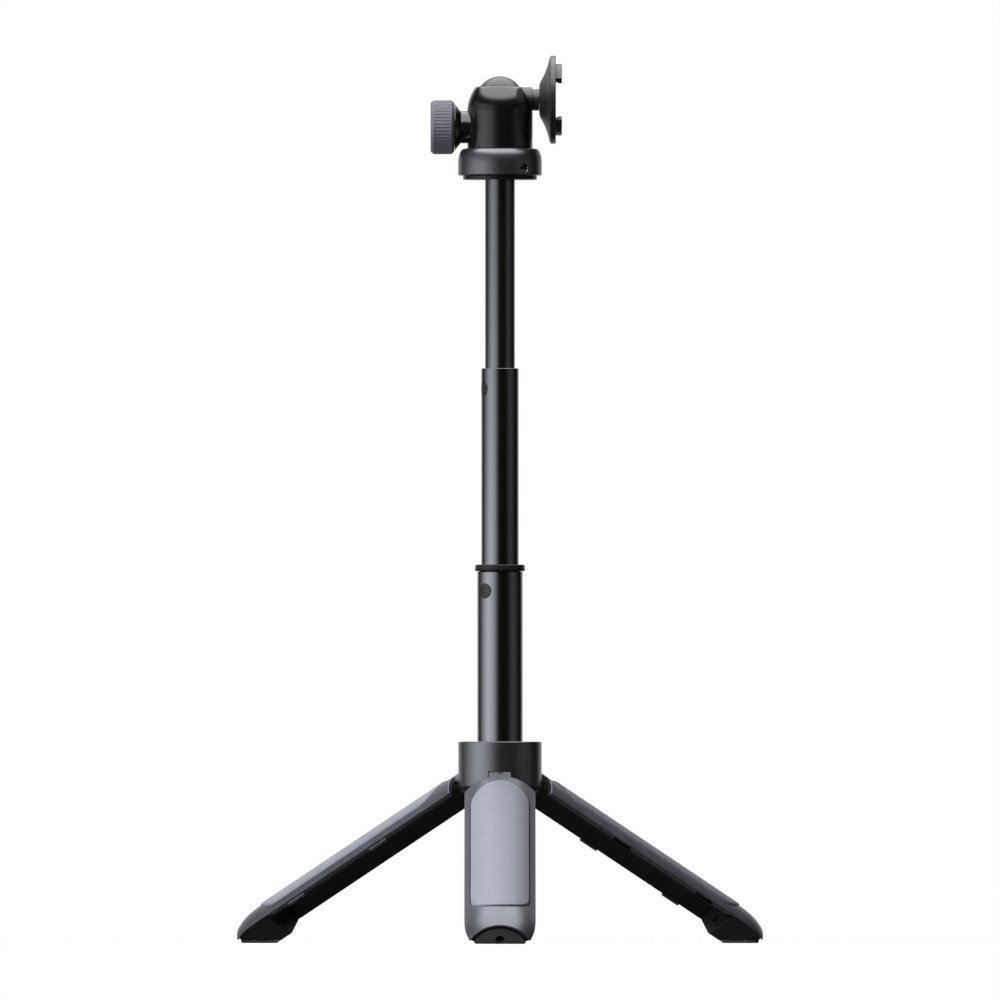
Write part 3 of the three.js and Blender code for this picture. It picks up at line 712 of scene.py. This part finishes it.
def make_legs():
    parts = {
        "leg_shell": (make_shell(), "leg_shell"),
        "leg_panel": (
            stadium_pad("leg_panel", PANEL_HALF, *PANEL_SPAN, PANEL_R, RECESS_R + GAP, 0.35),
            "soft_panel",
        ),
        "leg_liner": (make_liner(), "black_liner"),
        "foot_block": (make_foot_block(), "foot_plastic"),
        "foot_pad": (make_pad(), "foot_rubber"),
    }
    for kind, (pattern, slot) in parts.items():
        for side, azimuth in AZIMUTH.items():
            copy = bpy.data.objects.new(f"{kind}_{side}_fine", pattern.data.copy())
            bpy.context.scene.collection.objects.link(copy)
            placed(copy, turned_to(azimuth) @ STAND)
            piece(copy, f"leg_{side}", slot, f"{kind}_{side}")
        bpy.data.objects.remove(pattern)


# ---------- pole ----------

def boss_place(tube):
    """Out from the pole at the boss's height. Its turn is from the front towards -X."""
    return shift(z=tube["boss_z"]) @ turned_to(-90 - tube["turn"]) @ ALONG_X


def make_tube(name, tube, body):
    inner = tube["r"] - TUBE_WALL
    solid = turned(name, [
        (inner, tube["foot"]), (tube["r"], tube["foot"], 0.1), (tube["r"], tube["mouth"], 0.25),
        (inner, tube["mouth"], 0.15),
    ])
    if "boss_r" in tube:
        hole = placed(rod("hole", tube["boss_r"] + 0.14, tube["r"] - 3, tube["r"] + 3), boss_place(tube))
        carve(solid, hole)
    piece(solid, body, "black_metal", name.replace("_fine", ""))


def make_bush(name, tube, inner, outline, body):
    sleeve = tube["r"] - TUBE_WALL - GAP
    foot = tube["mouth"] - SLEEVE_DEEP
    bush = turned(name, [(inner, foot), (sleeve, foot), *outline])
    boss = placed(rod("boss", tube["boss_r"], tube["r"] - 1.1, tube["r"] + 1), boss_place(tube))
    keep(boss, rod("limit", tube["r"] + 0.08, 0, 300, ROUND))
    carve(boss, rod("way", inner + 0.1, 0, 300, ROUND))
    bevel(boss, 0.06, 2)
    unite(bush, boss)
    piece(bush, body, "black_polymer", name.replace("_fine", ""))


def make_pole():
    make_tube("lower_tube_fine", LOWER, "lower_section")
    make_tube("middle_tube_fine", MIDDLE, "middle_section")
    make_tube("upper_tube_fine", UPPER, "upper_section")
    sleeve = LOWER["r"] - TUBE_WALL - GAP
    lip = LOWER["mouth"] + GAP
    make_bush("lower_mouth_bush_fine", LOWER, MIDDLE["r"] + RUNNING, [
        (sleeve, lip), (FLANGE_R - 0.3, lip, 0.1), (FLANGE_R, lip + 0.5, 0.4),
        (FLANGE_R - 0.25, FLANGE_TOP, 0.35), (MIDDLE["r"] + RUNNING, FLANGE_TOP, 0.25),
    ], "lower_section")
    sleeve = MIDDLE["r"] - TUBE_WALL - GAP
    make_bush("middle_mouth_bush_fine", MIDDLE, UPPER["r"] + RUNNING, [
        (sleeve, MIDDLE["mouth"] - 0.1, 0.1), (UPPER["r"] + RUNNING, MIDDLE["mouth"] - 0.1, 0.1),
    ], "middle_section")


# ---------- head base ----------

def make_head_base():
    low, high = span("base_disc")
    radius = span("base_disc", "x")[1]
    hole = UPPER["r"] + GAP
    disc = turned("base_disc_fine", [
        (hole, low, 0.1), (radius, low, 0.3), (radius, high, 0.1), (hole, high, 0.1),
    ])
    piece(disc, "upper_section", "black_polymer", "base_disc")
    bolt = 1.8
    washer, washer_seat = 9.2, RING_TOP - 0.8
    plug_top = 281.4
    wide, tall = 2.1, 4.9
    crown = arc((RING_R - wide, RING_TOP - tall), (wide, tall), 0, 88, 14)
    ring = turned("base_ring_fine", [
        (hole, RING_BOTTOM, 0.1), (RING_R, RING_BOTTOM, 0.5), *crown, (washer, RING_TOP, 0.1),
        (washer, washer_seat), (bolt, washer_seat), (bolt, plug_top), (hole, plug_top),
    ])
    place = shift(z=GRUB_Z) @ turned_to(GRUB_TURN - 90) @ ALONG_X
    grub = 1.5
    bore = turned("bore", [(0, 3), (grub, 3), (grub, 14.75), (1.9, 15.3), (0, 15.3)], SMALL_ROUND)
    carve(ring, placed(bore, place))
    piece(ring, "upper_section", "hub_polymer", "base_ring")


# ---------- head ----------

def make_housing():
    bottom = RING_TOP + 0.05
    shoulder = []
    shoulder_steps = 16
    for k in range(1, shoulder_steps + 1):
        up = k / shoulder_steps * 0.97
        shoulder.append((HOUSING_R - SHOULDER_IN * up ** 2, SHOULDER_Z + up * (HOUSING_TOP - SHOULDER_Z)))
    cavity, floor, mouth = 8.75, 288.5, 7.3
    seat_end = math.degrees(math.acos(mouth / (BALL_R + 0.29)))
    seat = arc((0, BALL_Z), (cavity, cavity), seat_end, 0, 10)
    body = turned("head_housing_fine", [
        (1.8, bottom), (HOUSING_R, bottom, 0.2), (HOUSING_R, SHOULDER_Z), *shoulder,
        (HOUSING_R - SHOULDER_IN - 0.35, HOUSING_TOP, 0.25), (mouth, HOUSING_TOP, 0.3), *seat,
        (cavity, floor), (1.8, floor),
    ])
    boss_root = -9.0
    boss = turned("boss", [(0, -BOSS_END), (BOSS_R, -BOSS_END, 0.2), (BOSS_R, boss_root), (0, boss_root)], 96)
    unite(body, placed(boss, shift(z=KNOB_Z) @ ALONG_X))
    slot_half = 4.7
    slot = placed(rod("slot", slot_half, 3, 20, 72), shift(z=BALL_Z) @ ALONG_X)
    open_top = block("open_top", (3, 20), (-slot_half, slot_half), (BALL_Z, HOUSING_TOP + 5))
    screw_way = placed(rod("screw_way", 1.7, -20, 0), shift(z=KNOB_Z) @ ALONG_X)
    clear = rod("clear", 8.6, floor + 0.05, BALL_Z - 4, 96)
    carve(body, slot, open_top, screw_way, clear)
    piece(body, "head", "head_metal", "head_housing", sharp=35)


def make_knob():
    lift = shift(z=KNOB_Z)
    chamfer = 1.0
    out, inner, bore = KNOB_OUT, KNOB_IN, 7.2
    ribs, rib_deep, steps_per_rib = 48, 0.2, 10
    grip = turned("knob_grip_fine", [
        (bore, out, 0.1), (KNOB_R - chamfer, out, 0.3), (KNOB_R, out + chamfer, 0.3),
        (KNOB_R, out + chamfer + 0.5), (KNOB_R, out + chamfer + 0.75),
        (KNOB_R, inner - chamfer - 0.75), (KNOB_R, inner - chamfer - 0.5),
        (KNOB_R, inner - chamfer, 0.3), (KNOB_R - chamfer, inner, 0.3), (bore, inner, 0.1),
    ], ribs * steps_per_rib, ribs=(ribs, rib_deep, out + chamfer + 0.7, inner - chamfer - 0.7))
    piece(placed(grip, lift @ ALONG_X), "knob", "knob_rubber", "knob_grip", sharp=60)
    screw, hub, skirt = 1.6, 7.05, 8.6
    tip = -BOSS_END - 0.005
    core = turned("knob_core_fine", [
        (screw, tip), (BOSS_R, tip, 0.05), (skirt, inner + 0.1, 0.2), (hub, inner + 0.1),
        (hub, out + 1.4), (screw, out + 1.4),
    ])
    piece(placed(core, lift @ ALONG_X), "knob", "head_metal", "knob_core")
    cap = turned("knob_cap_fine", [
        (0, out + 0.55), (5.6, out + 0.55), (hub, out + 0.75, 0.15), (hub, out + 1.15), (0, out + 1.15),
    ])
    piece(placed(cap, lift @ ALONG_X), "knob", "black_liner", "knob_cap")


# ---------- ball and camera plate ----------

def make_ball():
    meet = math.degrees(math.acos(STEM_R / BALL_R))
    sphere = arc((0, 0), (BALL_R, BALL_R), -90, meet, 40)
    sphere[0] = (0, -BALL_R)
    end = PLATE_BACK - 0.03
    tapped, tapped_floor = 1.4, 5.5
    stem = turned("ball_stem_fine", [
        *sphere, (STEM_R, NECK_START, 0.2), (NECK_R, NECK_START, 0.05), (NECK_R, end),
        (tapped, end), (tapped, tapped_floor), (0, tapped_floor),
    ])
    piece(placed(stem, shift(z=BALL_Z) @ ALONG_X), "ball", "plate_metal", "ball_stem", sharp=35)


def claw_arc(name, outline, grow=0.0):
    """A curved outline of (radius, x) points swept round the plate's axis, either side of +Z."""
    reach = 20
    turn = math.radians(HOOK_TURN)
    foot = grow / math.cos(turn)
    side = reach * math.tan(turn) + foot
    fan = prism("fan", [(-foot - 0.001, 0), (foot + 0.001, 0), (side, reach), (-side, reach)], 10, 40)
    placed(fan, Matrix(((0, 0, 1, 0), (1, 0, 0, 0), (0, 1, 0, 0), (0, 0, 0, 1))))
    return keep(placed(turned(name, outline), ALONG_X), fan)


def make_hook(name, node, flip):
    top = span(node, "x")[1]
    hook = claw_arc(name, [
        (HOOK_NECK, HOOK_ROOT), (HOOK_NECK, PLATE_FACE + 0.3), (HOOK_INNER, 21), (HOOK_INNER, top, 0.25),
        (HOOK_OUTER, top, 0.4), (HOOK_OUTER, HOOK_ROOT),
    ])
    bevel(hook, 0.22, 3, 50)
    turn = Matrix.Rotation(math.pi, 4, "X") if flip else Matrix.Identity(4)
    piece(placed(hook, shift(z=BALL_Z) @ turn), "plate", "plate_metal", node)


def make_plate():
    curve = [
        (5.3, PLATE_BACK), (6.5, 14.5), (7.9, 15.3), (9.4, 16.05), (10.8, 16.6), (12.2, 17.1), (13.7, 17.5),
        (15.1, 17.9),
    ]
    rim = 18.2
    screw_hole, screw_head = 1.5, 3.3
    seat_floor = PLATE_FACE - 1.6
    magnet, magnet_out = 3.35, 10.4
    plate = turned("camera_plate_fine", [
        (screw_hole, PLATE_BACK), *curve, (PLATE_R, rim, 0.12), (PLATE_R, PLATE_FACE, 0.35),
        (screw_head, PLATE_FACE, 0.15), (screw_head, seat_floor), (screw_hole, seat_floor),
    ], 192)
    tools = []
    seat = HOOK_ROOT - GAP
    near, far = HOOK_NECK - 0.1, HOOK_OUTER + 0.1
    slot = [(near, seat), (far, seat), (far, 30), (near, 30)]
    for side in (-1, 1):
        pocket = placed(rod("pocket", magnet, seat_floor, 30), ALONG_X)
        tools.append(placed(pocket, shift(y=magnet_out * side)))
        half_turn = Matrix.Rotation(math.pi if side < 0 else 0, 4, "X")
        tools.append(placed(claw_arc("slot", slot, 0.1), half_turn))
    carve(placed(plate, ALONG_X), *tools)
    piece(placed(plate, shift(z=BALL_Z)), "plate", "plate_metal", "camera_plate", sharp=35)
    make_hook("hook_upper_fine", "hook_upper", False)
    make_hook("hook_lower_fine", "hook_lower", True)


def finish_cad_nodes():
    """CAD pieces that stay, most of them inside, get their slot's material."""
    slots = {part["node"]: part["material_slot"] for part in frame["record"]["subparts"]}
    for node, obj in frame["nodes"].items():
        obj.data.materials.clear()
        obj.data.materials.append(MATERIALS[slots[node]])


make_hub()
make_legs()
make_pole()
make_head_base()
make_housing()
make_knob()
make_ball()
make_plate()
finish_cad_nodes()


# ---------- studio ----------

def between(stops, value):
    """The value of a broken line through (place, height) stops."""
    for (x0, y0), (x1, y1) in zip(stops, stops[1:]):
        if value <= x1:
            return y0 + (y1 - y0) * max(0.0, (value - x0) / (x1 - x0))
    return stops[-1][1]


def lamp_sheet(name, grid):
    """A curved lamp through rows of (place, strength) points, hidden from the camera."""
    bm = bmesh.new()
    layer = bm.verts.layers.float.new("glow")
    rails = []
    for row in grid:
        rail = []
        for place, strength in row:
            vertex = bm.verts.new(place)
            vertex[layer] = strength
            rail.append(vertex)
        rails.append(rail)
    for lower, upper in zip(rails, rails[1:]):
        for k in range(len(lower) - 1):
            bm.faces.new([lower[k], lower[k + 1], upper[k + 1], upper[k]])
    sheet = new_object(name, bm)
    made = bpy.data.materials.new(name)
    made.use_nodes = True
    tree = Nodes(made.node_tree)
    made.node_tree.nodes.remove(made.node_tree.nodes["Principled BSDF"])
    glow = tree.add("ShaderNodeAttribute", attribute_name="glow").outputs["Fac"]
    lamp = tree.add("ShaderNodeEmission", {"Color": (0.97, 0.985, 1.0, 1), "Strength": glow})
    tree.link(lamp.outputs["Emission"], made.node_tree.nodes["Material Output"].inputs["Surface"])
    sheet.data.materials.append(made)
    sheet.visible_camera = False
    sheet.visible_shadow = False
    return sheet


def light_wall(name, round_stops, up_stops, distance, columns=48, rows=24):
    """An upright curved lamp round the pole, with a brightness that fades round it and up it.

    Round stops are (degrees to the right of the front, share). Up stops are (height, strength).
    """
    start, end = round_stops[0][0], round_stops[-1][0]
    low, high = up_stops[0][0], up_stops[-1][0]
    grid = []
    for row in range(rows + 1):
        height = low + (high - low) * row / rows
        points = []
        for column in range(columns + 1):
            angle = start + (end - start) * column / columns
            turn = math.radians(angle)
            place = (distance * math.sin(turn), AXIS.y * MM - distance * math.cos(turn), height)
            points.append((place, between(round_stops, angle) * between(up_stops, height)))
        grid.append(points)
    return lamp_sheet(name, grid)


def light_dome(name, up_stops, middle, distance, columns=48, rows=12):
    """A lamp overhead, all the way round. Up stops are (degrees above the horizon, strength)."""
    low, top = up_stops[0][0], 89.5
    grid = []
    for row in range(rows + 1):
        rise = low + (top - low) * row / rows
        out, up = math.cos(math.radians(rise)), math.sin(math.radians(rise))
        points = []
        for column in range(columns + 1):
            turn = 2 * math.pi * column / columns
            place = (distance * out * math.sin(turn), AXIS.y * MM - distance * out * math.cos(turn),
                     middle + distance * up)
            points.append((place, between(up_stops, rise)))
        grid.append(points)
    return lamp_sheet(name, grid)


def soft_panel(name, place, aim, size, power):
    data = bpy.data.lights.new(name, "AREA")
    data.shape = "RECTANGLE"
    data.size, data.size_y = size
    data.energy = power
    lamp = bpy.data.objects.new(name, data)
    lamp.location = place
    lamp.rotation_euler = (Vector(aim) - Vector(place)).to_track_quat("-Z", "Y").to_euler()
    lamp.visible_camera = False
    bpy.context.scene.collection.objects.link(lamp)
    return lamp


def make_world():
    """White to the camera. To the object, dark with a white backdrop behind it."""
    world = bpy.data.worlds.new("studio")
    world.use_nodes = True
    tree = Nodes(world.node_tree)
    world.node_tree.nodes.clear()
    way = tree.add("ShaderNodeTexCoord").outputs["Generated"]
    back = tree.add("ShaderNodeSeparateXYZ", {"Vector": way}).outputs["Y"]
    backdrop = tree.ramp(back, [(0.64, (0.012, 0.012, 0.012)), (0.88, (0.75, 0.75, 0.76))])
    seen = tree.add("ShaderNodeLightPath").outputs["Is Camera Ray"]
    color = tree.mix(seen, backdrop, (1.0, 1.0, 1.0))
    shown = tree.add("ShaderNodeBackground", {"Color": color, "Strength": 1.0})
    end = tree.add("ShaderNodeOutputWorld")
    tree.link(shown.outputs["Background"], end.inputs["Surface"])
    bpy.context.scene.world = world


def make_floor():
    """A pale disc that takes a faint shadow and fades into the white round it.

    It isn't seen in reflections and throws no light back, so it doesn't light the undersides.
    """
    radius, fade_start = 0.7, 0.3
    bm = bmesh.new()
    bmesh.ops.create_circle(bm, cap_ends=True, segments=96, radius=radius)
    floor = new_object("floor", bm)
    made = bpy.data.materials.new("floor")
    made.use_nodes = True
    tree = Nodes(made.node_tree)
    shader = made.node_tree.nodes["Principled BSDF"]
    shader.inputs["Base Color"].default_value = (0.5, 0.5, 0.5, 1)
    shader.inputs["Roughness"].default_value = 0.9
    shader.inputs["Specular IOR Level"].default_value = 0.0
    shader.inputs["Emission Color"].default_value = (1, 1, 1, 1)
    shader.inputs["Emission Strength"].default_value = 0.8
    place = tree.add("ShaderNodeTexCoord").outputs["Object"]
    away = tree.add("ShaderNodeVectorMath", {0: place}, operation="LENGTH").outputs["Value"]
    inputs = {"Value": away, "From Min": fade_start, "From Max": radius, "To Min": 1.0, "To Max": 0.0}
    tree.link(tree.add("ShaderNodeMapRange", inputs).outputs["Result"], shader.inputs["Alpha"])
    floor.data.materials.append(made)
    floor.location.z = -0.0002
    floor.visible_diffuse = False
    floor.visible_glossy = False
    floor.visible_shadow = False


LEFT_ROUND = [(-125, 0), (-100, 0.3), (-81, 0.7), (-63, 1), (-46, 0.85), (-30, 0.6), (-14, 0.1), (-6, 0)]
LEFT_UP = [(-0.05, 2.6), (0.09, 2.6), (0.18, 2.3), (0.25, 1.3), (0.295, 0.8), (0.36, 0.5), (0.7, 0.5)]
RIGHT_ROUND = [(32, 0), (47, 0.3), (64, 1), (82, 0.75), (103, 0.12), (115, 0)]
RIGHT_UP = [(-0.05, 0.25), (0.1, 0.25), (0.2, 0.17), (0.5, 0.17)]
OVERHEAD_UP = [(37, 0), (46, 3), (90, 3)]


def make_lights():
    """The overhead card is seen in reflections only, the key and the bounce on matt surfaces only."""
    light_wall("left_softbox", LEFT_ROUND, LEFT_UP, 1.1)
    light_wall("right_fill", RIGHT_ROUND, RIGHT_UP, 1.2)
    overhead = light_dome("overhead_card", OVERHEAD_UP, 0.2, 1.3)
    overhead.visible_diffuse = False
    key = soft_panel("key_softbox", (-0.66, -0.55, 1.0), (0, 0, 0.15), (0.7, 0.56), 12)
    key.visible_glossy = False
    bounce = soft_panel("floor_bounce", (0, 0, -0.4), (0, 0, 0.1), (1.6, 1.6), 2.6)
    bounce.visible_glossy = False


def make_camera():
    lens, sensor = 1400.0, 36.0
    frame_width = 0.36
    distance = frame_width * lens / sensor
    aim = Vector((0, AXIS.y * MM, 0.1596))
    lift = 0.03
    data = bpy.data.cameras.new("camera")
    data.lens = lens
    data.sensor_width = sensor
    data.clip_start, data.clip_end = 0.5, 60.0
    camera = bpy.data.objects.new("camera", data)
    camera.location = (aim.x, aim.y - distance, lift)
    camera.rotation_euler = (aim - camera.location).to_track_quat("-Z", "Y").to_euler()
    bpy.context.scene.collection.objects.link(camera)
    bpy.context.scene.camera = camera


make_world()
make_floor()
make_lights()
make_camera()
bpy.context.scene.view_settings.view_transform = "Standard"
